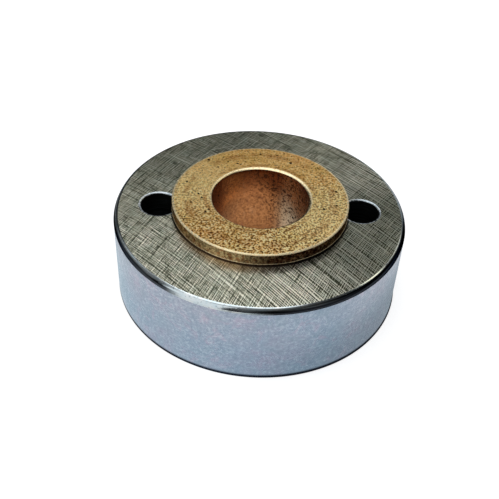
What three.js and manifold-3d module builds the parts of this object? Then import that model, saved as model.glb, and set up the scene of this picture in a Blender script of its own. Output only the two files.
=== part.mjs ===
// A flanged sintered bronze bushing pressed into a round steel collar.
// The collar stands on its flat underside. The bushing's sleeve fills the collar's bore, its flange
// lies on the collar's top face, and a small chamfered hole runs down through the collar on either
// side, partly under the flange's edge. Nothing moves: the shaft that turns in the bushing is not
// part of the assembly.
// Units are millimetres. +Z is up, along the bore, and the origin is at the centre of the underside.

import * as THREE from 'three';
import { mergeVertices } from 'three/addons/utils/BufferGeometryUtils.js';
import Module from 'manifold-3d';

// Steel collar
const COLLAR_DIAMETER = 45;
const COLLAR_HEIGHT = 13.5;
const TOP_EDGE_ROUND = 0.7; // radius along the outer edge of the top face
const BOTTOM_EDGE_CHAMFER = 0.25;
const SEAT_DIAMETER = 21; // the bore that the bushing is pressed into
const SEAT_CHAMFER = 0.4; // lead-in at both mouths of that bore

// Holes on either side of the flange
const HOLE_COUNT = 2;
const HOLE_DIAMETER = 5.5;
const HOLE_CIRCLE_DIAMETER = 31.3;
const HOLE_CHAMFER = 0.4;

// Bronze bushing
const BORE_DIAMETER = 15;
const BORE_CHAMFER = 0.35;
const BUSHING_LENGTH = 15; // flange included, so its end stays just inside the collar
const SLEEVE_LEAD_IN = 0.6; // chamfer that guides the sleeve into the seat
const FLANGE_DIAMETER = 27.2;
const FLANGE_THICKNESS = 2;
const FLANGE_TOP_CHAMFER = 0.3;
const FLANGE_LOWER_CHAMFER = 0.25;

// Roundness of the meshes
const RING_SEGMENTS = 96;
const HOLE_SEGMENTS = 40;
const ROUND_STEPS = 3; // half the number of straight steps in a quarter round
const CUT_OVERRUN = 1; // how far a hole's cutter runs past each face

const wasm = await Module();
wasm.setup();

// Turns a closed outline (x = radius, y = height) about the Z axis.
function turned(outline, segments) {
  return new THREE.LatheGeometry(outline, segments).rotateX(Math.PI / 2);
}

// The outline of a path, closed back to its first point.
function closedOutline(path, steps = 1) {
  path.autoClose = true;
  return path.getPoints(steps);
}

function toSolid(geometry) {
  const bare = geometry.clone();
  bare.deleteAttribute('normal');
  bare.deleteAttribute('uv');
  const merged = mergeVertices(bare);
  return new wasm.Manifold(new wasm.Mesh({
    numProp: 3,
    vertProperties: new Float32Array(merged.attributes.position.array),
    triVerts: new Uint32Array(merged.index.array),
  }));
}

function toGeometry(solid) {
  const { vertProperties, triVerts } = solid.getMesh();
  const geometry = new THREE.BufferGeometry();
  geometry.setAttribute('position', new THREE.BufferAttribute(vertProperties, 3));
  geometry.setIndex(new THREE.BufferAttribute(triVerts, 1));
  geometry.computeVertexNormals();
  return geometry;
}

function named(name, geometry, material) {
  const mesh = new THREE.Mesh(geometry, material);
  mesh.name = name;
  return mesh;
}

// The collar before its side holes: a ring with a rounded top edge and a bushing seat.
function collarRing() {
  const outer = COLLAR_DIAMETER / 2;
  const seat = SEAT_DIAMETER / 2;
  const path = new THREE.Path();
  path.moveTo(seat + SEAT_CHAMFER, 0);
  path.lineTo(outer - BOTTOM_EDGE_CHAMFER, 0);
  path.lineTo(outer, BOTTOM_EDGE_CHAMFER);
  path.lineTo(outer, COLLAR_HEIGHT - TOP_EDGE_ROUND);
  path.absarc(outer - TOP_EDGE_ROUND, COLLAR_HEIGHT - TOP_EDGE_ROUND, TOP_EDGE_ROUND, 0, Math.PI / 2);
  path.lineTo(seat + SEAT_CHAMFER, COLLAR_HEIGHT);
  path.lineTo(seat, COLLAR_HEIGHT - SEAT_CHAMFER);
  path.lineTo(seat, SEAT_CHAMFER);
  return turned(closedOutline(path, ROUND_STEPS), RING_SEGMENTS);
}

// The shape of a through hole with a chamfer at both mouths, standing on the Z axis.
function holeCutter() {
  const radius = HOLE_DIAMETER / 2;
  const mouth = radius + HOLE_CHAMFER + CUT_OVERRUN;
  const outline = [
    new THREE.Vector2(0, -CUT_OVERRUN),
    new THREE.Vector2(mouth, -CUT_OVERRUN),
    new THREE.Vector2(radius, HOLE_CHAMFER),
    new THREE.Vector2(radius, COLLAR_HEIGHT - HOLE_CHAMFER),
    new THREE.Vector2(mouth, COLLAR_HEIGHT + CUT_OVERRUN),
    new THREE.Vector2(0, COLLAR_HEIGHT + CUT_OVERRUN),
  ];
  return turned(outline, HOLE_SEGMENTS);
}

function collar() {
  let solid = toSolid(collarRing());
  for (let i = 0; i < HOLE_COUNT; i += 1) {
    const cutter = holeCutter();
    cutter.translate(HOLE_CIRCLE_DIAMETER / 2, 0, 0);
    cutter.rotateZ((2 * Math.PI * i) / HOLE_COUNT);
    solid = solid.subtract(toSolid(cutter));
  }
  return toGeometry(solid);
}

function bushing() {
  const bore = BORE_DIAMETER / 2;
  const sleeve = SEAT_DIAMETER / 2;
  const flange = FLANGE_DIAMETER / 2;
  const top = COLLAR_HEIGHT + FLANGE_THICKNESS;
  const bottom = top - BUSHING_LENGTH;
  const path = new THREE.Path();
  path.moveTo(bore + BORE_CHAMFER, bottom);
  path.lineTo(sleeve - SLEEVE_LEAD_IN, bottom);
  path.lineTo(sleeve, bottom + SLEEVE_LEAD_IN);
  path.lineTo(sleeve, COLLAR_HEIGHT);
  path.lineTo(flange - FLANGE_LOWER_CHAMFER, COLLAR_HEIGHT);
  path.lineTo(flange, COLLAR_HEIGHT + FLANGE_LOWER_CHAMFER);
  path.lineTo(flange, top - FLANGE_TOP_CHAMFER);
  path.lineTo(flange - FLANGE_TOP_CHAMFER, top);
  path.lineTo(bore + BORE_CHAMFER, top);
  path.lineTo(bore, top - BORE_CHAMFER);
  path.lineTo(bore, bottom + BORE_CHAMFER);
  return turned(closedOutline(path), RING_SEGMENTS);
}

const zincPlatedSteel = new THREE.MeshStandardMaterial({ color: 0x9fa6a8, roughness: 0.3, metalness: 1 });
const sinteredBronze = new THREE.MeshStandardMaterial({ color: 0xb0904e, roughness: 0.5, metalness: 1 });

const group = new THREE.Group();
group.add(named('steel_collar', collar(), zincPlatedSteel));
group.add(named('flanged_bushing', bushing(), sinteredBronze));

export default group;
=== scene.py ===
"""Looks of a flanged sintered bronze bushing pressed into a zinc-plated steel collar.

Both CAD nodes are replaced by finer meshes of the same size: the collar with its rounded edge and
chamfered holes, and the bushing with its uneven rim and real pores in its flange and bore. The
collar's top is belt-ground, its side zinc-plated. Metres, +Z up.
"""

import math
import random

import bmesh
import bpy
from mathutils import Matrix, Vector
from mathutils.geometry import delaunay_2d_cdt

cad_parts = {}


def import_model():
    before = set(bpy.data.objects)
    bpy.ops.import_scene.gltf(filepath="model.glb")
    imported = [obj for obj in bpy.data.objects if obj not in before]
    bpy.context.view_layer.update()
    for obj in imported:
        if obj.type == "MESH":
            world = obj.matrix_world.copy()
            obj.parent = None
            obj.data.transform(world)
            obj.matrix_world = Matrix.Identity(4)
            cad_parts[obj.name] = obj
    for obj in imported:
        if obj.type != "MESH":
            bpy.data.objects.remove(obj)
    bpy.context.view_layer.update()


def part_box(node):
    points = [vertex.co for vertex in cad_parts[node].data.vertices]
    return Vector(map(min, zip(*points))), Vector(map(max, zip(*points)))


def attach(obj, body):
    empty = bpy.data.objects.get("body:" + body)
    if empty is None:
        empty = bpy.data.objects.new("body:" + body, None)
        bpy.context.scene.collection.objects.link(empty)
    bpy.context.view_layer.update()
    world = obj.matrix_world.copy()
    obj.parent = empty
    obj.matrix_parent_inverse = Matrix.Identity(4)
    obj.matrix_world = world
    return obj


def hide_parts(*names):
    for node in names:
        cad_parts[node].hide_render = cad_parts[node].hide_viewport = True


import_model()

MM = 0.001

# Sizes read from the CAD parts in model.glb
_, collar_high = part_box("steel_collar")
bushing_low, bushing_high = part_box("flanged_bushing")
COLLAR_RADIUS = collar_high.x
COLLAR_HEIGHT = collar_high.z
FLANGE_RADIUS = bushing_high.x
FLANGE_TOP = bushing_high.z
SLEEVE_END = bushing_low.z

# Collar
TOP_ROUND = 0.7 * MM  # width of its rounded top edge
ROUND_DEPTH = 0.82 * MM
LAST_BEVEL = 0.2 * MM  # the almost level strip where the round meets the top face
LAST_BEVEL_DROP = 0.035 * MM
BOTTOM_CHAMFER = 0.25 * MM
SEAT_RADIUS = 10.5 * MM  # the bore that the bushing is pressed into
SEAT_CHAMFER = 0.4 * MM
HOLE_RADIUS = 2.75 * MM
HOLE_CHAMFER = 0.4 * MM
HOLE_LIP = 0.32 * MM  # width of the rolled part of a hole's chamfer
HOLE_LIP_DEPTH = 0.13 * MM
HOLE_OFFSET = 15.65 * MM

# Bushing
BORE_RADIUS = 7.5 * MM
BORE_CHAMFER = 0.35 * MM
BORE_MOUTH = 0.4 * MM  # width of the worn round at the bore's upper end
BORE_MOUTH_DEPTH = 0.15 * MM
BORE_MOUTH_WIDE = math.radians(65)  # the side where that round is widest
BORE_MOUTH_LEAN = 0.5  # how much wider it is there, as a share of its width
FLANGE_TOP_ROUND = 0.3 * MM
FLANGE_TOP_DROP = 0.13 * MM
FLANGE_LOWER_ROUND = 0.3 * MM
FLANGE_LIP = 0.04 * MM  # how far the flange's side stands back above its lower round
SLEEVE_LEAD_IN = 0.6 * MM
WORN_BAND = 11.4 * MM  # radius of a worn ring on the flange's face

# Pores
FLANGE_PORES = 420
BORE_PORES = 110
FLANGE_PORE_GAP = 0.03 * MM  # metal left between two pores
BORE_PORE_GAP = 0.05 * MM
FACE_INNER_MARGIN = 0.1 * MM  # from the bore's mouth to the nearest flange pore
FACE_OUTER_MARGIN = 0.2 * MM  # from the rim's round to the nearest flange pore
BORE_PORE_MARGIN = 0.6 * MM  # from a bore pore's centre to the ends and the seam of the wall
PORE_CORNERS = 9
FILL_GAP = 0.08 * MM  # from a bore pore's rim to the wall's own points

# Fineness of the meshes
RING_SEGMENTS = 480
ROUND_STEPS = 14
HOLE_SEGMENTS = 96
HOLE_LIP_STEPS = 4
RIM_STEPS = 6
LOWER_STEPS = 5
MOUTH_STEPS = 5
SIDE_ROWS = 14
BORE_ROWS = 22
BORE_SEGMENTS = 300

SEED = 7


# ---------------------------------------------------------------- shape helpers


def ring(radius, z, segments=RING_SEGMENTS, centre=(0.0, 0.0)):
    """A circle of points. radius and z may be numbers or functions of the angle."""
    points = []
    for i in range(segments):
        a = 2 * math.pi * i / segments
        r = radius(a) if callable(radius) else radius
        h = z(a) if callable(z) else z
        points.append(Vector((centre[0] + r * math.cos(a), centre[1] + r * math.sin(a), h)))
    return points


def ripple(rng, amplitude, waves):
    """A smooth closed random function of the angle, made of a few sine waves."""
    terms = []
    for _ in range(6):
        terms.append((rng.choice(waves), rng.uniform(0, 2 * math.pi), rng.uniform(0.4, 1.0)))
    total = sum(weight for _, _, weight in terms)

    def value(angle):
        height = sum(weight * math.sin(count * angle + phase) for count, phase, weight in terms)
        return amplitude * height / total

    return value


def rounded(width, depth, steps, corner=0.3, flat=0.0):
    """Points of an edge from the top of a wall at (0, 0) to the start of a face at (width, depth).

    The surface turns from upright to flat degrees off level. The share corner of the turn is made
    in the first tenth of the way up, the rest evenly all along.
    """
    fine = 400
    first = 0.1
    turn = math.radians(90 - flat)
    path = [(0.0, 0.0)]
    for i in range(fine):
        way = (i + 0.5) / fine
        tilt = math.pi / 2 - turn * (corner * min(1.0, way / first) + (1 - corner) * way)
        path.append((path[-1][0] + math.cos(tilt), path[-1][1] + math.sin(tilt)))
    shares = [0.0, 0.03, 0.06, first] + [first + 0.9 * (k + 1) / steps for k in range(steps)]
    picked = [path[round(fine * share)] for share in shares]
    return [(x * width / path[-1][0], y * depth / path[-1][1]) for x, y in picked]


class Shell:
    """A mesh put together from bands and flat faces, each with a material number."""

    def __init__(self):
        self.bm = bmesh.new()

    def points(self, coordinates):
        return [self.bm.verts.new(c) for c in coordinates]

    def face(self, verts, material, smooth=True):
        f = self.bm.faces.new(verts)
        f.material_index = material
        f.smooth = smooth
        return f

    def band(self, lower, upper, material):
        """Quads between two rings of the same length; the outside is on the right going up."""
        n = len(lower)
        for i in range(n):
            j = (i + 1) % n
            self.face((lower[i], lower[j], upper[j], upper[i]), material)

    def bands(self, rings, materials):
        """Bands through a list of rings of points; gives back the rings' vertices."""
        made = [self.points(r) for r in rings]
        for k in range(len(made) - 1):
            self.band(made[k], made[k + 1], materials[k])
        return made

    def sheet(self, outer, holes, material, upward, place=None, fill=()):
        """A triangulated face inside the ring outer, open at each ring of holes.

        The rings are lists of vertices that already exist. A curved sheet comes with place: its
        "flat" gives a vertex's flat (u, v), and its "solid" turns the flat points of fill into
        places for new vertices, which "made" then holds.
        """
        flat_of = place["flat"] if place else (lambda v: (v.co.x, v.co.y))
        verts = list(outer)
        loops = [list(range(len(outer)))]
        for loop in holes:
            loops.append(list(range(len(verts), len(verts) + len(loop))))
            verts.extend(loop)
        coordinates = [Vector(flat_of(v)) for v in verts] + [Vector(p) for p in fill]
        made = delaunay_2d_cdt(coordinates, [], loops, 1, 1e-9)
        _, _, triangles, source, _, inside = made
        for k, triangle in enumerate(triangles):
            if list(inside[k]) != [0]:
                continue
            corners = []
            for index in triangle:
                origin = source[index][0]
                if origin < len(verts):
                    corners.append(verts[origin])
                    continue
                if origin not in place["made"]:
                    new = self.bm.verts.new(place["solid"](coordinates[origin]))
                    place["made"][origin] = new
                corners.append(place["made"][origin])
            if not upward:
                corners.reverse()
            self.face(corners, material, smooth=place is not None)

    def finish(self, name, materials, sharp_angle=math.radians(28)):
        """Merges points that lie together, checks that the mesh is closed, and makes the piece."""
        bmesh.ops.remove_doubles(self.bm, verts=self.bm.verts, dist=1e-8)
        for edge in self.bm.edges:
            if len(edge.link_faces) != 2:
                raise ValueError(f"{name} has an open edge at {edge.verts[0].co}")
            a, b = edge.link_faces
            edge.smooth = edge.calc_face_angle() < sharp_angle and a.smooth == b.smooth
        mesh = bpy.data.meshes.new(name)
        self.bm.to_mesh(mesh)
        self.bm.free()
        for m in materials:
            mesh.materials.append(m)
        piece = bpy.data.objects.new(name, mesh)
        bpy.context.scene.collection.objects.link(piece)
        return piece


# ---------------------------------------------------------------- pores


def scattered(rng, count, spot, sizes, margin):
    """Places up to count round pores, margin apart or more: a list of (u, v, radius)."""
    placed = []
    tries = 0
    while len(placed) < count and tries < 60 * count:
        tries += 1
        radius = sizes(rng)
        u, v = spot(rng, radius)
        if all((u - a) ** 2 + (v - b) ** 2 > (radius + r + margin) ** 2 for a, b, r in placed):
            placed.append((u, v, radius))
    return placed


def pore_rim(rng, u, v, radius):
    """The uneven outline of one pore, as flat points."""
    turn = rng.uniform(0, 2 * math.pi)
    stretch = rng.uniform(0.65, 1.0)
    tilt = rng.uniform(0, math.pi)
    rim = []
    for i in range(PORE_CORNERS):
        a = 2 * math.pi * i / PORE_CORNERS + turn
        r = radius * rng.uniform(0.78, 1.0)
        x, y = r * math.cos(a), r * stretch * math.sin(a)
        across = x * math.cos(tilt) - y * math.sin(tilt)
        along = x * math.sin(tilt) + y * math.cos(tilt)
        rim.append((u + across, v + along))
    return rim


def add_pore(shell, rim, centre, depth, solid, material, upward):
    """A pit below one rim: two narrowing rings and a bottom point. Gives the rim's vertices."""
    levels = ((1.0, 0.0), (0.86, 0.45), (0.5, 0.9))
    u, v = centre
    rings = []
    for share, down in levels:
        points = [solid(u + (x - u) * share, v + (y - v) * share, depth * down) for x, y in rim]
        rings.append(shell.points(points))
    bottom = shell.bm.verts.new(solid(u, v, depth))
    for wide, narrow in zip(rings, rings[1:]):
        lower, upper = (wide, narrow) if upward else (narrow, wide)
        shell.band(lower, upper, material)
    last = rings[-1]
    for i in range(len(last)):
        j = (i + 1) % len(last)
        corners = (last[i], last[j], bottom) if upward else (last[j], last[i], bottom)
        shell.face(corners, material)
    return rings[0]


def pore_size(rng):
    """Mostly very small pores, with some of a middle size and a few large ones."""
    kind = rng.random()
    if kind < 0.06:
        return MM * rng.uniform(0.20, 0.29)
    if kind < 0.18:
        return MM * rng.uniform(0.10, 0.15)
    return MM * min(0.10, 0.055 * math.exp(rng.gauss(0.0, 0.35)))


# ---------------------------------------------------------------- pieces


def collar_piece(materials):
    """The steel collar. Materials: ground face, side, rounded edge, hole chamfer, hole wall."""
    ground, side, edge, lip, wall = range(5)
    rng = random.Random(SEED)
    shell = Shell()
    wave = ripple(rng, 0.012 * MM, (5, 9, 14, 22, 31))
    fine_wave = ripple(rng, 0.006 * MM, (26, 37, 48, 61))
    rings = [ring(COLLAR_RADIUS - BOTTOM_CHAMFER, 0.0)]
    uses = [edge]
    top_of_side = COLLAR_HEIGHT - ROUND_DEPTH
    for k in range(SIDE_ROWS + 1):
        z = BOTTOM_CHAMFER + (top_of_side - BOTTOM_CHAMFER) * k / SIDE_ROWS
        rings.append(ring(COLLAR_RADIUS, z))
        uses.append(side)
    uses[-1] = edge
    round_width, round_depth = TOP_ROUND - LAST_BEVEL, ROUND_DEPTH - LAST_BEVEL_DROP
    profile = rounded(round_width, round_depth, ROUND_STEPS, 0.35, 14.0)[1:]
    for inward, up in profile + [(TOP_ROUND, ROUND_DEPTH)]:
        bulge = math.sin(math.pi * up / ROUND_DEPTH)

        def radius(a, inward=inward, bulge=bulge):
            return COLLAR_RADIUS - inward - bulge * (abs(wave(a)) + abs(fine_wave(a)))

        rings.append(ring(radius, top_of_side + up))
        uses.append(edge)
    outside = shell.bands(rings, uses)

    seat = shell.bands(
        [
            ring(SEAT_RADIUS + SEAT_CHAMFER, COLLAR_HEIGHT),
            ring(SEAT_RADIUS, COLLAR_HEIGHT - SEAT_CHAMFER),
            ring(SEAT_RADIUS, SEAT_CHAMFER),
            ring(SEAT_RADIUS + SEAT_CHAMFER, 0.0),
        ],
        [lip, wall, lip],
    )
    top_rims, bottom_rims = [seat[0]], [seat[-1]]
    throat = HOLE_RADIUS + HOLE_CHAMFER - HOLE_LIP
    lip_profile = rounded(HOLE_LIP, HOLE_LIP_DEPTH, HOLE_LIP_STEPS, 0.6)
    for sign in (-1, 1):
        centre = (sign * HOLE_OFFSET, 0.0)
        uneven = ripple(rng, 0.03 * MM, (1, 2, 3, 5))
        hole_rings = []
        for out, up in reversed(lip_profile):

            def mouth(a, out=out, uneven=uneven):
                return throat + out + uneven(a) * out / HOLE_LIP

            hole_rings.append(ring(mouth, COLLAR_HEIGHT - HOLE_LIP_DEPTH + up, HOLE_SEGMENTS, centre))
        hole_rings.append(ring(HOLE_RADIUS, COLLAR_HEIGHT - HOLE_CHAMFER, HOLE_SEGMENTS, centre))
        hole_rings.append(ring(HOLE_RADIUS, HOLE_CHAMFER, HOLE_SEGMENTS, centre))
        hole_rings.append(ring(HOLE_RADIUS + HOLE_CHAMFER, 0.0, HOLE_SEGMENTS, centre))
        hole = shell.bands(hole_rings, [lip] * (len(lip_profile) - 1) + [wall, wall, lip])
        top_rims.append(hole[0])
        bottom_rims.append(hole[-1])
    shell.sheet(outside[-1], top_rims, ground, upward=True)
    shell.sheet(outside[0], bottom_rims, ground, upward=False)
    return shell.finish("collar_body", materials)


def bushing_piece(materials):
    """The bushing. Materials: porous face, rim, flange side, bore, inside of a pore, bore mouth."""
    face, rim, edge, bore, pit, lead = range(6)
    rng = random.Random(SEED + 1)
    shell = Shell()
    wobble = ripple(rng, 0.05 * MM, (2, 3, 7, 11, 19))
    lower_wobble = ripple(rng, 0.04 * MM, (2, 5, 9, 16))
    inner_wobble = ripple(rng, 0.07 * MM, (2, 4, 9, 15, 23))

    rings = [
        ring(BORE_RADIUS + BORE_CHAMFER, SLEEVE_END),
        ring(SEAT_RADIUS - SLEEVE_LEAD_IN, SLEEVE_END),
        ring(SEAT_RADIUS, SLEEVE_END + SLEEVE_LEAD_IN),
        ring(SEAT_RADIUS, COLLAR_HEIGHT),
    ]
    uses = [edge, edge, edge]
    lower_profile = rounded(FLANGE_LOWER_ROUND, FLANGE_LOWER_ROUND, LOWER_STEPS, 0.0)
    for inward, down in reversed(lower_profile):

        def lower(a, down=down):
            uneven = 1 + lower_wobble(a) / FLANGE_LOWER_ROUND
            return COLLAR_HEIGHT + (FLANGE_LOWER_ROUND - down) * uneven

        rings.append(ring(FLANGE_RADIUS - inward, lower))
        uses.append(edge)
    lip_top = COLLAR_HEIGHT + FLANGE_LOWER_ROUND + FLANGE_LIP
    rings.append(ring(FLANGE_RADIUS - FLANGE_LIP, lambda a: lip_top + lower_wobble(a)))
    uses[-1] = edge
    uses += [rim, edge]
    for inward, up in rounded(FLANGE_TOP_ROUND, FLANGE_TOP_DROP, RIM_STEPS, 0.72, 7.0):

        def radius(a, inward=inward):
            return FLANGE_RADIUS - FLANGE_LIP - inward * (1 + wobble(a) / FLANGE_TOP_ROUND)

        def height(a, up=up):
            return FLANGE_TOP - (FLANGE_TOP_DROP - up) * (1 + 0.5 * wobble(a) / FLANGE_TOP_DROP)

        rings.append(ring(radius, height))
        uses.append(rim)
    outside = shell.bands(rings, uses)

    # Flange face with its pores
    inner = BORE_RADIUS + (1 + BORE_MOUTH_LEAN) * BORE_MOUTH + FACE_INNER_MARGIN
    outer = FLANGE_RADIUS - FLANGE_TOP_ROUND - FACE_OUTER_MARGIN

    def flange_spot(source, radius):
        r = math.sqrt(source.uniform((inner + radius) ** 2, (outer - radius) ** 2))
        a = source.uniform(0, 2 * math.pi)
        return r * math.cos(a), r * math.sin(a)

    def sunk(x, y, down):
        return (x, y, FLANGE_TOP - down)

    mouth_rings = []
    for out, up in reversed(rounded(BORE_MOUTH, BORE_MOUTH_DEPTH, MOUTH_STEPS, 0.6)):

        def mouth_radius(a, out=out):
            off_centre = BORE_MOUTH_LEAN * math.cos(a - BORE_MOUTH_WIDE)
            return BORE_RADIUS + out * (1 + inner_wobble(a) / BORE_MOUTH + off_centre)

        mouth_rings.append(ring(mouth_radius, FLANGE_TOP - BORE_MOUTH_DEPTH + up))
    mouth = shell.bands(mouth_rings[:-1], [lead] * MOUTH_STEPS + [bore] * 2)
    rims = [mouth[0]]
    for u, v, radius in scattered(rng, FLANGE_PORES, flange_spot, pore_size, FLANGE_PORE_GAP):
        outline = pore_rim(rng, u, v, radius)
        depth = radius * rng.uniform(1.2, 2.2)
        rims.append(add_pore(shell, outline, (u, v), depth, sunk, pit, upward=True))
    shell.sheet(outside[-1], rims, face, upward=True)

    # Bore wall with its pores, drawn flat as (arc length, height) and rolled up
    low, high = SLEEVE_END + BORE_CHAMFER, FLANGE_TOP - BORE_MOUTH_DEPTH
    around = 2 * math.pi * BORE_RADIUS

    def rolled(u, v, down=0.0):
        a = u / BORE_RADIUS
        r = BORE_RADIUS + down
        return (r * math.cos(a), r * math.sin(a), v)

    def bore_spot(source, radius):
        gap = BORE_PORE_MARGIN
        return source.uniform(gap, around - gap), source.uniform(low + gap, high - gap)

    pores = scattered(rng, BORE_PORES, bore_spot, pore_size, BORE_PORE_GAP)
    rims = []
    flat = {}
    for u, v, radius in pores:
        outline = pore_rim(rng, u, v, radius)
        depth = radius * rng.uniform(0.8, 1.6)
        made = add_pore(shell, outline, (u, v), depth, rolled, pit, upward=False)
        for vert, point in zip(made, outline):
            flat[vert] = point
        rims.append(made)
    steps = [around * i / BORE_SEGMENTS for i in range(BORE_SEGMENTS + 1)]
    border = [(u, low) for u in steps] + [(u, high) for u in reversed(steps)]
    border_verts = []
    for point in border:
        vert = shell.bm.verts.new(rolled(*point))
        flat[vert] = point
        border_verts.append(vert)
    fill = []
    for k in range(1, BORE_ROWS):
        v = low + (high - low) * k / BORE_ROWS
        shift = 0.5 if k % 2 else 0.0
        for i in range(1, BORE_SEGMENTS - 1):
            u = around * (i + shift) / BORE_SEGMENTS
            if all((u - a) ** 2 + (v - b) ** 2 > (r + FILL_GAP) ** 2 for a, b, r in pores):
                fill.append((u, v))
    place = {"flat": flat.__getitem__, "made": {}, "solid": lambda p: rolled(p[0], p[1])}
    shell.sheet(border_verts, rims, bore, upward=False, place=place, fill=fill)

    # Strips that join the bore wall to its mouth and, as a chamfer, to the sleeve's end
    top_row = shell.points([rolled(around * i / BORE_SEGMENTS, high) for i in range(BORE_SEGMENTS)])
    low_row = shell.points([rolled(around * i / BORE_SEGMENTS, low) for i in range(BORE_SEGMENTS)])
    join_rings(shell, mouth[-1], top_row, bore)
    join_rings(shell, low_row, outside[0], rim)
    return shell.finish("bushing_body", materials)


def join_rings(shell, upper, lower, material):
    """Joins two rings with different numbers of points, both starting at angle 0."""
    i = j = 0
    n, m = len(upper), len(lower)
    while i < n or j < m:
        step_upper = (i + 1) / n if i < n else 2.0
        step_lower = (j + 1) / m if j < m else 2.0
        a, b = upper[i % n], lower[j % m]
        if step_upper <= step_lower:
            i += 1
            shell.face((a, upper[i % n], b), material)
        else:
            j += 1
            shell.face((a, lower[j % m], b), material)


# ---------------------------------------------------------------- materials

FLATTEN = (1.0, 1.0, 0.0)


class Recipe:
    """One procedural material, built node by node in the object's own space."""

    def __init__(self, name, roughness, metallic=1.0):
        self.material = bpy.data.materials.new(name)
        self.material.use_nodes = True
        self.tree = self.material.node_tree
        self.shader = self.tree.nodes["Principled BSDF"]
        self.shader.inputs["Metallic"].default_value = metallic
        self.shader.inputs["Roughness"].default_value = roughness
        self.space = self.node("ShaderNodeTexCoord").outputs["Object"]

    def node(self, kind, **settings):
        made = self.tree.nodes.new(kind)
        for key, value in settings.items():
            setattr(made, key, value)
        return made

    def feed(self, socket, value):
        if isinstance(value, bpy.types.NodeSocket):
            self.tree.links.new(value, socket)
        else:
            socket.default_value = value

    def math(self, operation, a, b=0.0):
        made = self.node("ShaderNodeMath", operation=operation)
        self.feed(made.inputs[0], a)
        self.feed(made.inputs[1], b)
        return made.outputs[0]

    def vector_math(self, operation, vector=None, fixed=None):
        """Outputs of a vector node on a vector, or on the object's space, and a fixed vector."""
        made = self.node("ShaderNodeVectorMath", operation=operation)
        self.feed(made.inputs[0], self.space if vector is None else vector)
        if fixed is not None:
            made.inputs[1].default_value = fixed
        return made.outputs

    def parts(self, vector):
        """The x, y and z of a vector."""
        made = self.node("ShaderNodeSeparateXYZ")
        self.feed(made.inputs[0], vector)
        return made.outputs

    def scaled(self, scale):
        """The object's space scaled along each axis."""
        return self.vector_math("MULTIPLY", fixed=scale)[0]

    def height(self):
        """Height above the floor."""
        return self.parts(self.space)[2]

    def unit(self):
        """Direction from the object's origin, as a unit vector."""
        return self.vector_math("NORMALIZE")[0]

    def distance(self, place):
        """Distance from a fixed place."""
        return self.vector_math("DISTANCE", fixed=place)["Value"]

    def noise(self, per_mm, detail=2.0, rough=0.5, vector=None, distortion=0.0):
        """Noise with per_mm waves to the millimetre."""
        made = self.node("ShaderNodeTexNoise")
        self.feed(made.inputs["Vector"], self.space if vector is None else vector)
        made.inputs["Scale"].default_value = per_mm / MM
        made.inputs["Detail"].default_value = detail
        made.inputs["Roughness"].default_value = rough
        made.inputs["Distortion"].default_value = distortion
        return made.outputs["Fac"]

    def from_axis(self):
        """Distance from the Z axis."""
        return self.vector_math("LENGTH", self.scaled(FLATTEN))["Value"]

    def rings(self, per_mm, detail=2.0):
        """Noise that depends only on the distance from the Z axis: turning marks on a face."""
        made = self.node("ShaderNodeTexNoise", noise_dimensions="1D")
        self.feed(made.inputs["W"], self.from_axis())
        made.inputs["Scale"].default_value = per_mm / MM
        made.inputs["Detail"].default_value = detail
        return made.outputs["Fac"]

    def ramp(self, value, *stops):
        """Colour by value, through stops of (value, colour)."""
        made = self.node("ShaderNodeValToRGB")
        elements = made.color_ramp.elements
        while len(elements) < len(stops):
            elements.new(0.5)
        for element, (position, colour) in zip(elements, stops):
            element.position = position
            element.color = (*colour, 1.0)
        self.feed(made.inputs[0], value)
        return made.outputs[0]

    def fade(self, value, low, high, to_low=0.0, to_high=1.0):
        """Maps low..high to to_low..to_high, smoothly and clamped."""
        made = self.node("ShaderNodeMapRange", interpolation_type="SMOOTHSTEP")
        self.feed(made.inputs["Value"], value)
        names = ("From Min", "From Max", "To Min", "To Max")
        for name, number in zip(names, (low, high, to_low, to_high)):
            made.inputs[name].default_value = number
        return made.outputs["Result"]

    def mix(self, share, a, b, blend="MIX"):
        """Colour a with share of colour b mixed in."""
        made = self.node("ShaderNodeMix", data_type="RGBA", blend_type=blend)
        self.feed(made.inputs[0], share)
        self.feed(made.inputs[6], (*a, 1.0) if isinstance(a, tuple) else a)
        self.feed(made.inputs[7], (*b, 1.0) if isinstance(b, tuple) else b)
        return made.outputs[2]

    def colour(self, value):
        self.feed(self.shader.inputs["Base Color"], value)

    def roughness(self, value):
        self.feed(self.shader.inputs["Roughness"], value)

    def bump(self, height, depth, strength=1.0):
        """A rise of 1 in height stands for depth in metres."""
        made = self.node("ShaderNodeBump")
        made.inputs["Strength"].default_value = strength
        made.inputs["Distance"].default_value = depth
        self.feed(made.inputs["Height"], height)
        self.tree.links.new(made.outputs[0], self.shader.inputs["Normal"])


def dot(r, vector, fixed):
    """Dot product with a fixed vector."""
    return r.vector_math("DOT_PRODUCT", vector, fixed)["Value"]


def mixed(r, share, a, b):
    """Number a with share of number b mixed in."""
    made = r.node("ShaderNodeMix", data_type="FLOAT")
    for socket, value in zip(made.inputs[0:1] + made.inputs[2:4], (share, a, b)):
        r.feed(socket, value)
    return made.outputs[0]


def direction(azimuth, elevation):
    """Unit vector to a place in the studio. Azimuth 0 is +Y, away from the camera, and 90 is +X."""
    a, e = math.radians(azimuth), math.radians(elevation)
    return Vector((math.sin(a) * math.cos(e), math.cos(a) * math.cos(e), math.sin(e)))


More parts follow.
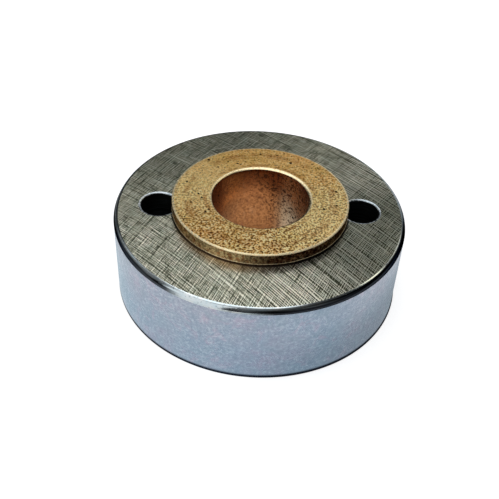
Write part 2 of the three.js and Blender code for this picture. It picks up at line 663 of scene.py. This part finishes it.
def arc_space(r, centre, across, along, offset):
    """Space for long marks on arcs about a far centre in mm, with features per mm across and along."""
    away = r.vector_math("SUBTRACT", fixed=(centre[0] * MM, centre[1] * MM, 0.0))[0]
    x, y, _ = r.parts(away)
    distance = r.math("SQRT", r.math("ADD", r.math("MULTIPLY", x, x), r.math("MULTIPLY", y, y)))
    angle = r.math("ARCTAN2", r.math("MULTIPLY", y, -1.0), r.math("MULTIPLY", x, -1.0))
    spot = r.node("ShaderNodeCombineXYZ")
    r.feed(spot.inputs[0], r.math("MULTIPLY", distance, across))
    r.feed(spot.inputs[1], r.math("MULTIPLY", angle, along * math.hypot(*centre) * MM))
    spot.inputs[2].default_value = offset * MM
    return spot.outputs[0]


FURROW_SWAY = 18.0  # how far the furrows drift from even spacing, in radians of their wave


def furrows(r, centre, per_mm, offset):
    """Grinding marks side by side on arcs, some deep and some faint: waves about 0.5."""
    across = r.parts(arc_space(r, centre, 1.0, 0.0, 0))[0]
    wander = r.noise(1.0, 1.0, 0.5, vector=arc_space(r, centre, 1.1, 0.017, offset))
    depth = r.noise(1.0, 1.0, 0.5, vector=arc_space(r, centre, 3.4, 0.30, offset + 5))
    phase = r.math("MULTIPLY", across, 2 * math.pi * per_mm / MM)
    wave = r.math("SINE", r.math("ADD", phase, r.math("MULTIPLY", wander, FURROW_SWAY)))
    wave = r.math("MULTIPLY", wave, r.fade(depth, 0.40, 0.62, 0.12, 0.72))
    return r.math("ADD", wave, 0.5)


def hairlines(r, centre, across, along, width, offset):
    """Thin long single marks: 1 on a line, 0 between."""
    value = r.noise(1.0, 0.0, 0.5, vector=arc_space(r, centre, across, along, offset))
    return r.fade(r.math("ABSOLUTE", r.math("SUBTRACT", value, 0.5)), width, 0.3 * width)


def scratch(r, start, end, width):
    """One straight scratch between two places in mm: 1 on it, 0 elsewhere."""
    run = Vector((end[0] - start[0], end[1] - start[1], 0.0)) * MM
    middle = Vector((end[0] + start[0], end[1] + start[1], 0.0)) * 0.5 * MM
    ahead = run.normalized()
    aside = Vector((-ahead.y, ahead.x, 0.0))
    off = r.math("ABSOLUTE", r.math("SUBTRACT", dot(r, r.space, aside), middle.dot(aside)))
    along = r.math("ABSOLUTE", r.math("SUBTRACT", dot(r, r.space, ahead), middle.dot(ahead)))
    thin = r.fade(off, width, 0.4 * width)
    return r.math("MULTIPLY", thin, r.fade(along, run.length / 2, 0.35 * run.length))


# Far centres of the grinding marks' arcs, and the ends of single scratches, in mm
GRIND_CENTRE = (-92.0, -98.0)
CROSS_CENTRE = (115.0, -66.0)
STEEP_CENTRE = (130.0, -20.0)
SCRATCHES = (
    ((11.6, -9.6), (17.6, -12.9)),
    ((11.0, -8.2), (15.6, -10.6)),
    ((-16.8, -5.0), (-12.6, -9.8)),
    ((1.0, -15.4), (7.5, -20.0)),
    ((-9.0, 15.2), (-2.0, 18.0)),
    ((13.5, 8.5), (17.0, 12.0)),
)

# Sides of the ground face darkened by painted shade: azimuth, cosine where each begins, share
PAINTED_SHADE_SIDES = ((112, 0.58, 0.78), (-40, 0.64, 0.43), (62, 0.75, 0.26), (2, 0.86, 0.33))

# Stretches of the rounded edge darkened as a painted dark reflection: azimuth, cosines where each
# begins and is full, share, and how far below the top, in mm, it is full and ends
PAINTED_DARK_STRETCHES = (
    (125, (0.74, 0.92), 0.97, (0.085, 0.055)),
    (150, (0.80, 0.92), 0.97, (0.34, 0.20)),
    (-107, (0.86, 0.93), 0.95, (0.26, 0.12)),
    (-122, (0.86, 0.93), 0.93, (0.34, 0.24)),
)


def toward(r, azimuth, low, high, to_high):
    """Grows from 0 to to_high round the Z axis toward an azimuth; low and high are cosines."""
    flat = r.vector_math("NORMALIZE", r.scaled(FLATTEN))[0]
    return r.fade(dot(r, flat, direction(azimuth, 0)), low, high, 0.0, to_high)


def centred(r, value, scale=1.0):
    """A 0 to 1 value shifted to lie about 0, then scaled."""
    return r.math("MULTIPLY", r.math("SUBTRACT", value, 0.5), scale)


def grinding(r, grain):
    """Marks on a ground face: two crossing sets of furrows, hairlines and scratches, about 0.5.

    The first set stands out on the right front, and the two share the rest of the face in patches.
    """
    first = furrows(r, GRIND_CENTRE, 2.7, 0)
    cross = furrows(r, CROSS_CENTRE, 3.0, 9)
    first_lit = hairlines(r, GRIND_CENTRE, 1.7, 0.10, 0.05, 31)
    cross_dark = hairlines(r, CROSS_CENTRE, 1.5, 0.14, 0.04, 37)
    steep = hairlines(r, STEEP_CENTRE, 1.1, 0.12, 0.03, 13)
    broken = r.noise(0.8, 2.0)
    right_front = r.fade(dot(r, r.space, (0.93, -0.37, 0.0)), 4.0 * MM, 15.5 * MM)
    share = r.fade(r.noise(0.35, 2.0), 0.36, 0.64, 0.42, 0.62)
    first_part = r.math("MAXIMUM", centred(r, first), mixed(r, right_front, -0.7, -0.15))
    first_part = r.math("MULTIPLY", first_part, mixed(r, right_front, share, 2.9))
    cross_share = r.math("SUBTRACT", 1.0, share)
    cross_part = centred(r, cross, mixed(r, right_front, cross_share, 1.3))
    near_front = r.fade(dot(r, r.space, (0.0, 1.0, 0.0)), 6.0 * MM, -16.0 * MM, 1.05, 1.4)
    both = r.math("MULTIPLY", r.math("ADD", first_part, cross_part), near_front)
    marks = r.math("ADD", r.math("ADD", 0.455, both), centred(r, grain, 0.8))
    lit = r.math("MULTIPLY", first_lit, r.fade(broken, 0.42, 0.56, 0.0, 0.45))
    marks = r.math("ADD", marks, r.math("MULTIPLY", lit, mixed(r, right_front, 0.4, 1.0)))
    dark = r.math("MAXIMUM", cross_dark, steep)
    dark = r.math("MULTIPLY", dark, r.fade(broken, 0.58, 0.44, 0.05, 0.3))
    marks = r.math("SUBTRACT", marks, dark)
    for start, end in SCRATCHES:
        marks = r.math("ADD", marks, r.math("MULTIPLY", scratch(r, start, end, 0.07 * MM), 0.6))
    return marks


def ground_steel():
    """Ground face: crossing furrows over a greenish grey, with painted shade on some sides, a painted
    shadow round the flange's foot and a painted reflection of the flange.
    """
    r = Recipe("ground_steel", 0.34, 0.86)
    grain = r.noise(3.4, 1.0, 0.5)
    marks = grinding(r, grain)
    base = r.ramp(
        marks,
        (0.0, (0.07, 0.075, 0.05)),
        (0.4, (0.36, 0.365, 0.28)),
        (0.64, (0.60, 0.60, 0.475)),
        (1.1, (1.0, 0.99, 0.88)),
    )
    tint = r.ramp(
        r.noise(0.45, 3.0, 0.6),
        (0.32, (0.82, 0.89, 0.86)),
        (0.5, (0.97, 0.97, 0.94)),
        (0.7, (1.0, 0.94, 0.90)),
    )
    base = r.mix(0.65, base, tint, "MULTIPLY")
    # Painted shade: darker colour on some sides of the ground face
    painted_shade = 0.0
    for azimuth, low, share in PAINTED_SHADE_SIDES:
        painted_shade = r.math("ADD", painted_shade, toward(r, azimuth, low, 1.0, share))
    base = r.mix(painted_shade, base, (0.14, 0.16, 0.14), "MULTIPLY")
    distance = r.from_axis()
    # Painted contact shadow: a near black ring on the face round the flange's foot
    painted_foot_shadow = r.fade(distance, FLANGE_RADIUS + 0.30 * MM, FLANGE_RADIUS + 0.16 * MM, 0.0, 0.95)
    base = r.mix(painted_foot_shadow, base, (0.012, 0.010, 0.009))
    # Painted reflection of the flange's side: a brown tinge on the face close to the flange, toward
    # the front left
    left_front = toward(r, -160, 0.70, 0.95, 0.25)
    painted_flange_reflection = r.math("MULTIPLY", r.fade(distance, FLANGE_RADIUS + 2.0 * MM, FLANGE_RADIUS), left_front)
    base = r.mix(painted_flange_reflection, base, (0.66, 0.50, 0.38))
    r.colour(base)
    r.roughness(r.fade(grain, 0.3, 0.7, 0.28, 0.40))
    r.bump(marks, 0.006 * MM, 1.0)
    return r.material


def zinc_side():
    """Bright zinc plating: bluish white with faint pink and teal clouds, scuffs, and painted shade
    darkening the foot.
    """
    r = Recipe("zinc_side", 0.25, 0.75)
    cloud = r.noise(0.16, 3.0, 0.55)
    patch = r.noise(0.32, 2.0, 0.6, distortion=1.2)
    speck = r.noise(2.4, 2.0, 0.6)
    scuff = r.math("ABSOLUTE", centred(r, r.noise(1.0, 1.0, 0.5, vector=r.scaled((0.5, 0.5, 2.4)))))
    base = r.ramp(
        cloud,
        (0.3, (0.32, 0.38, 0.46)),
        (0.48, (0.36, 0.40, 0.475)),
        (0.68, (0.405, 0.38, 0.46)),
    )
    base = r.mix(r.fade(patch, 0.45, 0.75, 0.0, 0.4), base, (0.33, 0.43, 0.48))
    base = r.mix(r.fade(patch, 0.46, 0.32, 0.0, 0.6), base, (0.47, 0.40, 0.48))
    base = r.mix(r.fade(speck, 0.50, 0.70, 0.0, 0.55), base, (0.56, 0.60, 0.65))
    base = r.mix(r.fade(speck, 0.49, 0.30, 0.0, 0.45), base, (0.24, 0.28, 0.34))
    base = r.mix(r.fade(scuff, 0.02, 0.0, 0.0, 0.34), base, (0.78, 0.82, 0.84))
    base = r.mix(1.0, base, (0.995, 1.01, 1.04), "MULTIPLY")
    base = r.mix(toward(r, 168, 0.86, 0.99, 1.0), base, (0.89, 0.95, 0.98), "MULTIPLY")
    # Painted shade: the side darkens toward the floor and is nearly black at its foot
    height = r.height()
    base = r.mix(r.fade(height, 0.75 * MM, 0.2 * MM, 0.0, 0.6), base, (0.08, 0.10, 0.16))
    base = r.mix(r.fade(height, 0.50 * MM, 0.32 * MM, 0.0, 0.8), base, (0.02, 0.025, 0.04))
    r.colour(base)
    r.roughness(r.fade(patch, 0.3, 0.7, 0.2, 0.32))
    r.bump(r.noise(1.4, 3.0), 0.006 * MM, 0.7)
    return r.material


def bright_edge():
    """The collar's rounded edge: rubbed bright, with painted dark reflections along stretches."""
    r = Recipe("bright_edge", 0.1)
    r.shader.inputs["Specular Tint"].default_value = (0.1, 0.1, 0.12, 1.0)
    cloud = r.noise(0.6, 3.0, 0.6)
    rub = r.noise(2.0, 3.0, 0.6)
    base = r.ramp(cloud, (0.35, (0.62, 0.74, 0.79)), (0.65, (0.80, 0.84, 0.84)))
    base = r.mix(r.fade(rub, 0.56, 0.68, 0.0, 0.5), base, (0.24, 0.29, 0.32))
    height = r.math("ADD", r.height(), centred(r, rub, 0.06 * MM))
    # Painted dark reflection along stretches of the edge, just below the top
    painted_dark = 0.0
    for azimuth, (low, high), share, (full, end) in PAINTED_DARK_STRETCHES:
        below = r.fade(height, COLLAR_HEIGHT - full * MM, COLLAR_HEIGHT - end * MM, 1.0, 0.0)
        stretch = r.math("MULTIPLY", below, toward(r, azimuth, low, high, share))
        painted_dark = r.math("MAXIMUM", painted_dark, stretch)
    base = r.mix(painted_dark, base, (0.018, 0.022, 0.032))
    r.colour(base)
    r.roughness(r.fade(rub, 0.3, 0.7, 0.06, 0.15))
    r.bump(rub, 0.008 * MM, 0.7)
    return r.material


def hole_lip():
    """Chamfer of a hole: plated, bright and slightly uneven."""
    r = Recipe("hole_lip", 0.22)
    mark = r.noise(2.2, 3.0)
    r.colour(r.ramp(mark, (0.35, (0.36, 0.42, 0.45)), (0.6, (0.72, 0.78, 0.82))))
    r.roughness(r.fade(mark, 0.3, 0.7, 0.16, 0.34))
    r.bump(mark, 0.01 * MM, 0.5)
    return r.material


def hole_wall():
    """Drilled wall: nearly black as painted shade, with faint rings from the drill."""
    r = Recipe("hole_wall", 0.5)
    rings = r.noise(1.0, 2.0, 0.5, vector=r.scaled((0.1, 0.1, 5.0)))
    r.colour(r.ramp(rings, (0.3, (0.015, 0.017, 0.017)), (0.7, (0.05, 0.055, 0.055))))
    r.bump(rings, 0.01 * MM, 0.6)
    return r.material


def porous_bronze():
    """Sintered flange face: pressed bronze grains, dark grain borders, faint turning rings."""
    r = Recipe("porous_bronze", 0.45, 0.88)
    small = r.noise(3.3, 1.0, 0.4)
    large = r.noise(1.3, 2.0, 0.6)
    speck = r.noise(2.7, 1.0, 0.5)
    cloud = r.noise(0.22, 3.0, 0.6)
    wear = r.noise(0.4, 3.0, 0.6)
    rings = r.rings(0.9, 3.0)
    grain = mixed(r, 0.22, small, large)
    coarse_side = toward(r, 125, 0.4, 1.0, 1.0)
    strong = centred(r, grain, mixed(r, coarse_side, 1.0, 1.5))
    base = r.ramp(
        r.math("ADD", strong, 0.5),
        (0.38, (0.15, 0.07, 0.025)),
        (0.47, (0.76, 0.47, 0.155)),
        (0.53, (1.0, 0.72, 0.28)),
        (0.58, (1.0, 0.96, 0.60)),
    )
    base = r.mix(toward(r, 0, 0.0, 0.9, 0.6), base, (0.92, 0.60, 0.215))
    base = r.mix(r.fade(speck, 0.29, 0.37, 0.85, 0.0), base, (0.16, 0.08, 0.03))
    warm = r.ramp(cloud, (0.32, (0.86, 0.84, 0.68)), (0.5, (1.0, 1.0, 1.0)), (0.7, (1.0, 0.88, 0.78)))
    base = r.mix(0.9, base, warm, "MULTIPLY")
    polished = r.math("ADD", toward(r, -75, 0.6, 1.0, 0.4), toward(r, 112, 0.6, 1.0, 0.32))
    base = r.mix(polished, base, (1.0, 0.86, 0.44))
    base = r.mix(toward(r, -150, 0.5, 1.0, 0.3), base, (0.62, 0.50, 0.40), "MULTIPLY")
    base = r.mix(1.0, base, (1.0, 0.935, 0.84), "MULTIPLY")
    off_band = r.math("ABSOLUTE", r.math("SUBTRACT", r.from_axis(), WORN_BAND))
    worn = r.math("MAXIMUM", r.fade(rings, 0.50, 0.62, 0.0, 0.9), r.fade(off_band, 0.7 * MM, 0.1 * MM))
    worn = r.math("MULTIPLY", worn, r.fade(wear, 0.40, 0.58))
    base = r.mix(r.math("MULTIPLY", worn, 0.75), base, (0.60, 0.42, 0.30), "MULTIPLY")
    r.colour(base)
    r.roughness(r.fade(small, 0.3, 0.7, 0.58, 0.34))
    height = r.math("ADD", grain, r.math("MULTIPLY", speck, 0.5))
    height = r.math("ADD", height, r.math("MULTIPLY", rings, 0.5))
    r.bump(height, 0.03 * MM, 0.9)
    return r.material


def bronze_rim(name, metallic):
    """Edges of the bushing: bronze rubbed bright."""
    r = Recipe(name, 0.3, metallic)
    r.shader.inputs["Specular Tint"].default_value = (1.0, 0.74, 0.42, 1.0)
    grain = r.noise(2.4, 3.0, 0.6)
    base = r.ramp(
        grain,
        (0.3, (0.80, 0.50, 0.24)),
        (0.40, (1.0, 0.79, 0.46)),
        (0.56, (1.0, 0.87, 0.55)),
    )
    r.colour(base)
    r.roughness(r.fade(grain, 0.3, 0.7, 0.34, 0.2))
    r.bump(grain, 0.010 * MM, 0.7)
    return r.material


def bronze_edge():
    """Side of the flange and the sleeve: browner, with pressed marks, painted shade at the front,
    right and back, and a painted highlight on the front left.
    """
    r = Recipe("bronze_edge", 0.3, 0.95)
    r.shader.inputs["Specular Tint"].default_value = (0.7, 0.45, 0.28, 1.0)
    grain = r.noise(2.9, 1.0, 0.5)
    cloud = r.noise(0.45, 2.0)
    base = r.ramp(
        grain,
        (0.38, (0.04, 0.014, 0.007)),
        (0.48, (0.45, 0.225, 0.085)),
        (0.57, (1.0, 0.76, 0.42)),
    )
    base = r.mix(r.fade(cloud, 0.45, 0.60, 0.0, 0.6), base, (0.20, 0.08, 0.04))
    base = r.mix(r.fade(cloud, 0.46, 0.34, 0.0, 0.6), base, (1.0, 0.52, 0.20))
    # Painted shade at the front and on the right of the side, and a painted highlight on its front
    # left
    base = r.mix(toward(r, 165, 0.80, 0.97, 0.5), base, (0.14, 0.05, 0.03))
    base = r.mix(toward(r, 97, 0.80, 0.98, 0.5), base, (0.10, 0.05, 0.03))
    base = r.mix(toward(r, -145, 0.70, 0.95, 0.85), base, (1.0, 0.76, 0.42))
    mottle = r.noise(1.5, 2.0, 0.6)
    base = r.mix(r.fade(mottle, 0.50, 0.40, 0.0, 0.85), base, (0.60, 0.36, 0.27), "MULTIPLY")
    # Painted shade: the back of the side is browner and darker
    shaded_back = r.fade(dot(r, r.space, (0.0, 1.0, 0.0)), -9.0 * MM, 0.0, 0.0, 0.55)
    base = r.mix(shaded_back, base, (0.42, 0.24, 0.11))
    pressed = r.ramp(
        r.noise(2.6, 0.0),
        (0.40, (0.12, 0.08, 0.07)),
        (0.47, (0.75, 0.66, 0.60)),
        (0.52, (1.0, 1.0, 1.0)),
    )
    eased = r.math("ADD", toward(r, -148, 0.7, 0.95, 0.4), r.math("MULTIPLY", shaded_back, 0.8))
    base = r.mix(r.math("SUBTRACT", 0.9, eased), base, pressed, "MULTIPLY")
    r.colour(base)
    r.roughness(r.fade(grain, 0.3, 0.7, 0.34, 0.18))
    r.bump(grain, 0.022 * MM, 0.8)
    return r.material


# Painted light and shade of the bore at shares of the part's height
PAINTED_BORE_SHADING = (
    (0.3, 0.8),
    (0.45, 0.88),
    (0.57, 0.96),
    (0.65, 1.25),
    (0.73, 1.05),
    (0.82, 0.72),
    (0.95, 0.58),
)


def bore_bronze():
    """Bore: sized and burnished, coppery, greyer and speckled on the right, with painted light and
    shade by depth, lightest a third down.
    """
    r = Recipe("bore_bronze", 0.28)
    streak = r.noise(1.0, 3.0, 0.6, vector=r.scaled((1.6, 1.6, 0.35)))
    grain = r.noise(2.6, 3.0, 0.6)
    cloud = r.noise(0.2, 3.0)
    right = r.fade(dot(r, r.space, (0.8, 0.4, 0.25)), 3.5 * MM, 9.5 * MM)
    base = r.ramp(
        grain,
        (0.33, (0.11, 0.036, 0.014)),
        (0.46, (0.34, 0.135, 0.046)),
        (0.62, (0.48, 0.205, 0.075)),
    )
    base = r.mix(r.fade(right, 0.0, 1.0, 0.55, 0.0), base, (0.36, 0.155, 0.06))
    grey_side = r.math("MULTIPLY", toward(r, 75, 0.5, 0.95, 1.0), r.fade(cloud, 0.30, 0.55, 0.5, 0.9))
    base = r.mix(grey_side, base, (0.60, 0.43, 0.26))
    base = r.mix(toward(r, 62, 0.80, 0.97, 0.85), base, (1.0, 0.76, 0.50))
    # Painted light and shade by depth: lightest a third down, darker toward both ends
    level = r.math("DIVIDE", r.height(), FLANGE_TOP)
    level = r.math("ADD", level, centred(r, r.noise(0.35, 2.0), 0.35))
    painted_depth_shading = r.ramp(level, *((at, (v, v * 0.98, v * 0.97)) for at, v in PAINTED_BORE_SHADING))
    base = r.mix(mixed(r, grey_side, 1.0, 0.4), base, painted_depth_shading, "MULTIPLY")
    speck = r.math("MULTIPLY", r.fade(grain, 0.50, 0.40, 0.0, 0.9), r.fade(right, 0.0, 1.0, 0.08, 1.0))
    base = r.mix(speck, base, (0.06, 0.025, 0.012))
    base = r.mix(r.fade(streak, 0.44, 0.30, 0.0, 0.4), base, (0.2, 0.07, 0.04))
    base = r.mix(r.fade(streak, 0.55, 0.70, 0.0, 0.3), base, (0.5, 0.25, 0.12))
    r.colour(base)
    r.roughness(r.fade(grain, 0.3, 0.7, 0.36, 0.24))
    r.bump(r.math("ADD", grain, r.math("MULTIPLY", streak, 0.4)), 0.010 * MM, 0.8)
    return r.material


def pore_dark():
    """Inside of an open pore: oil-dark bronze."""
    r = Recipe("pore_dark", 0.6, metallic=0.6)
    r.colour(r.ramp(r.noise(6.0, 2.0), (0.3, (0.008, 0.005, 0.003)), (0.7, (0.04, 0.024, 0.012))))
    return r.material


# ---------------------------------------------------------------- studio


def panel(r, unit, facing, middle, half, soft, strength):
    """Brightness of a soft-edged rectangular panel one metre off, square to the direction facing."""
    azimuth, elevation = facing
    ahead = direction(azimuth, elevation)
    a = math.radians(azimuth)
    across = Vector((math.cos(a), -math.sin(a), 0.0))
    upward = ahead.cross(across)
    depth = r.math("MAXIMUM", dot(r, unit, ahead), 0.02)
    light = strength
    for axis, centre, reach, blur in zip((across, upward), middle, half, soft):
        place = r.math("DIVIDE", dot(r, unit, axis), depth)
        off = r.math("ABSOLUTE", r.math("SUBTRACT", place, centre))
        light = r.math("MULTIPLY", r.fade(off, reach + blur, reach - blur), light)
    return light


def glow(r, strength, colour=(1.0, 1.0, 1.0, 1.0)):
    """Turns the material into a plain light source that is never sampled as a lamp."""
    emission = r.node("ShaderNodeEmission")
    r.feed(emission.inputs["Strength"], strength)
    r.feed(emission.inputs["Color"], colour)
    r.tree.links.new(emission.outputs[0], r.tree.nodes["Material Output"].inputs["Surface"])
    r.material.cycles.emission_sampling = "NONE"


def only_in_reflections(thing):
    """Hides a studio mesh from everything but reflections."""
    thing.visible_camera = False
    thing.visible_diffuse = False
    thing.visible_shadow = False
    thing.visible_transmission = False


def unit_height(r, unit):
    """Sine of a direction's elevation."""
    return dot(r, unit, (0.0, 0.0, 1.0))


def stage_mesh(name, create, material, z=0.0, **settings):
    """A studio mesh made by one bmesh operator, with its material."""
    mesh = bpy.data.meshes.new(name)
    bm = bmesh.new()
    create(bm, **settings)
    bm.to_mesh(mesh)
    bm.free()
    mesh.materials.append(material)
    made = bpy.data.objects.new(name, mesh)
    made.location.z = z
    bpy.context.scene.collection.objects.link(made)
    return made


# Soft panels of the dome: facing (azimuth, elevation), middle, half size, soft edge, brightness
OVERHEAD = (0, 90)
MIDDLE = (0.0, 0.0)
PANELS = (
    (OVERHEAD, (-0.08, 0.62), (0.27, 0.52), (0.06, 0.30), 1.45),
    (OVERHEAD, (-0.42, -0.12), (0.30, 0.30), (0.10, 0.12), 0.9),
    (OVERHEAD, (-0.68, 0.62), (0.30, 0.22), (0.14, 0.16), 0.3),
    ((-135, 22), MIDDLE, (0.40, 0.62), (0.06, 0.2), 0.85),
    ((-78, 24), MIDDLE, (0.42, 0.48), (0.12, 0.12), 0.13),
    ((-56, 38), MIDDLE, (0.16, 0.12), (0.12, 0.10), 0.3),
    ((20, 38), MIDDLE, (0.05, 0.12), (0.10, 0.08), 0.22),
    ((20, 16), MIDDLE, (0.28, 0.18), (0.15, 0.12), 0.5),
    ((135, 14), MIDDLE, (0.45, 0.20), (0.25, 0.12), 0.22),
    ((-45, 20), MIDDLE, (0.25, 0.15), (0.2, 0.12), 0.04),
    ((180, 70), MIDDLE, (0.3, 0.45), (0.3, 0.4), 0.12),
    ((-172, 40), MIDDLE, (0.12, 0.6), (0.3, 0.3), 0.10),
)
WARM_STRIPS = (
    ((37, 50), MIDDLE, (0.19, 0.065), (0.12, 0.04), 1.5),
    ((26, 39), MIDDLE, (0.19, 0.08), (0.08, 0.05), 0.85),
)


def studio_dome():
    """A dome that only reflections see: dark, with soft bright panels and two warm strips."""
    r = Recipe("studio_panels", 1.0, 0.0)
    unit = r.unit()
    strips = 0.0
    for strip in WARM_STRIPS:
        strips = r.math("ADD", strips, panel(r, unit, *strip))
    light = r.math("ADD", r.fade(unit_height(r, unit), 0.2, 0.95, 0.014, 0.045), strips)
    for one in PANELS:
        light = r.math("ADD", light, panel(r, unit, *one))
    glow(r, light, r.mix(strips, (0.97, 0.985, 1.0), (1.0, 0.90, 0.68)))
    sphere = bmesh.ops.create_icosphere
    dome = stage_mesh("studio_dome", sphere, r.material, subdivisions=5, radius=3.0)
    only_in_reflections(dome)


def disc(name, material, radius, below):
    """A flat round sheet just below the part."""
    circle = bmesh.ops.create_circle
    return stage_mesh(name, circle, material, -below, cap_ends=True, segments=96, radius=radius)


def floor():
    """Pale sheet that glows a little, so that shadows on it stay faint, with a painted contact shadow
    where the part stands.
    """
    r = Recipe("floor_paper", 0.9, 0.0)
    paper = r.ramp(r.noise(0.02, 2.0), (0.3, (0.86, 0.86, 0.86)), (0.7, (0.88, 0.88, 0.88)))
    # Painted contact shadow: nearly black and not glowing under the part and a hair beyond its foot
    distance = r.distance((0.07 * MM, -0.04 * MM, 0.0))
    clear_of_painted_shadow = r.fade(distance, COLLAR_RADIUS + 0.02 * MM, COLLAR_RADIUS + 0.11 * MM)
    r.colour(r.mix(clear_of_painted_shadow, (0.015, 0.02, 0.04), paper))
    r.shader.inputs["Specular IOR Level"].default_value = 0.1
    r.shader.inputs["Emission Color"].default_value = (1.0, 1.0, 1.0, 1.0)
    r.feed(r.shader.inputs["Emission Strength"], r.math("MULTIPLY", clear_of_painted_shadow, 0.68))
    r.material.cycles.emission_sampling = "NONE"
    sheet = disc("floor", r.material, 2.5, 0.02 * MM)
    sheet.visible_glossy = False


def floor_in_reflections():
    """The same sheet as the metal mirrors it: bright near the part, ending in a dark room."""
    r = Recipe("floor_mirrored", 1.0, 0.0)
    distance = r.distance((0.0, 0.0, 0.0))
    unit = r.unit()
    near = r.fade(distance, 24.0 * MM, 34.0 * MM, 0.90, 1.04)
    toward_right = r.fade(dot(r, unit, direction(105, 0)), -0.15, 1.0, 0.0, 0.5)
    shade = r.math("MULTIPLY", r.fade(distance, 33.0 * MM, 23.5 * MM), toward_right)
    near = r.math("MULTIPLY", near, r.math("SUBTRACT", 1.0, shade))
    back = r.fade(dot(r, unit, direction(16, 0)), 0.7, 0.88)
    left_front = r.fade(dot(r, unit, direction(-136, 0)), 0.88, 0.94)
    open_side = r.math("MINIMUM", r.math("ADD", back, left_front), 1.0)
    forward = r.distance((0.0, -4.0 * MM, 0.0))
    far = r.fade(forward, 34.0 * MM, 41.0 * MM, 1.0, 0.0)
    far = r.math("MAXIMUM", far, r.fade(forward, 45.0 * MM, 72.0 * MM, 0.2, 0.7))
    lit = r.math("MAXIMUM", far, r.math("MULTIPLY", open_side, 0.8))
    sheet_light = r.math("MULTIPLY", near, r.math("ADD", r.math("MULTIPLY", lit, 0.9), 0.03))
    aside = r.distance((1.8 * MM, -1.6 * MM, 0.0))
    through_bore = r.fade(aside, 9.5 * MM, 2.5 * MM, 0.28, 1.2)
    outside = r.fade(distance, 10.0 * MM, 12.0 * MM)
    blue = r.mix(r.fade(distance, 34.0 * MM, 24.0 * MM), (1.0, 1.0, 1.0), (0.84, 1.0, 1.07))
    blue = r.mix(outside, (1.0, 1.0, 1.0), blue)
    glow(r, mixed(r, outside, through_bore, sheet_light), blue)
    sheet = disc("floor_mirrored", r.material, 0.5, 0.01 * MM)
    only_in_reflections(sheet)


def backdrop():
    """A plain pale wall all round that only the camera sees."""
    r = Recipe("backdrop_paper", 1.0, 0.0)
    glow(r, r.fade(unit_height(r, r.unit()), 0.0, 0.5, 0.93, 0.86))
    sphere = bmesh.ops.create_icosphere
    wall = stage_mesh("backdrop", sphere, r.material, subdivisions=4, radius=1.2)
    wall.visible_diffuse = False
    wall.visible_glossy = False
    wall.visible_shadow = False
    wall.visible_transmission = False


def area_light(name, place, size, power):
    """A soft round light that shows in no reflection: the dome does that."""
    light = bpy.data.lights.new(name, "AREA")
    light.shape = "DISK"
    light.size = size
    light.energy = power
    lamp = bpy.data.objects.new(name, light)
    lamp.location = place
    lamp.rotation_mode = "QUATERNION"
    lamp.rotation_quaternion = (-Vector(place)).to_track_quat("-Z", "Y")
    lamp.visible_glossy = False
    lamp.visible_camera = False
    bpy.context.scene.collection.objects.link(lamp)


def world(strength):
    """Even light from all round that metal doesn't mirror."""
    made = bpy.data.worlds.new("studio")
    made.use_nodes = True
    background = made.node_tree.nodes["Background"]
    background.inputs["Color"].default_value = (0.95, 0.96, 0.97, 1.0)
    background.inputs["Strength"].default_value = strength
    made.cycles_visibility.glossy = False
    bpy.context.scene.world = made


def camera():
    """Seen from in front and above, tilted a little, as in a hand-held close-up."""
    place = Vector((-3.21, -95.94, 87.65)) * MM
    target = Vector((-1.35, -2.22, 6.75)) * MM
    tilt = math.radians(2.84)
    data = bpy.data.cameras.new("camera")
    data.lens = 56.4
    data.sensor_width = 36.0
    data.clip_start = 5.0 * MM
    data.clip_end = 20.0
    seat = bpy.data.objects.new("camera", data)
    seat.location = place
    seat.rotation_euler = (target - place).to_track_quat("-Z", "Y").to_euler()
    seat.rotation_euler.rotate_axis("Z", tilt)
    bpy.context.scene.collection.objects.link(seat)
    bpy.context.scene.camera = seat


# ---------------------------------------------------------------- scene

camera()

collar = collar_piece([ground_steel(), zinc_side(), bright_edge(), hole_lip(), hole_wall()])
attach(collar, "root")
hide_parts("steel_collar")

bushing = bushing_piece(
    [
        porous_bronze(),
        bronze_rim("bronze_rim", 0.5),
        bronze_edge(),
        bore_bronze(),
        pore_dark(),
        bronze_rim("bore_mouth", 1.0),
    ]
)
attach(bushing, "root")
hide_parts("flanged_bushing")

floor()
floor_in_reflections()
studio_dome()
backdrop()
world(0.5)
area_light("key_light", (-0.35, 0.15, 0.9), 0.8, 1.2)
bpy.context.scene.view_settings.view_transform = "Standard"
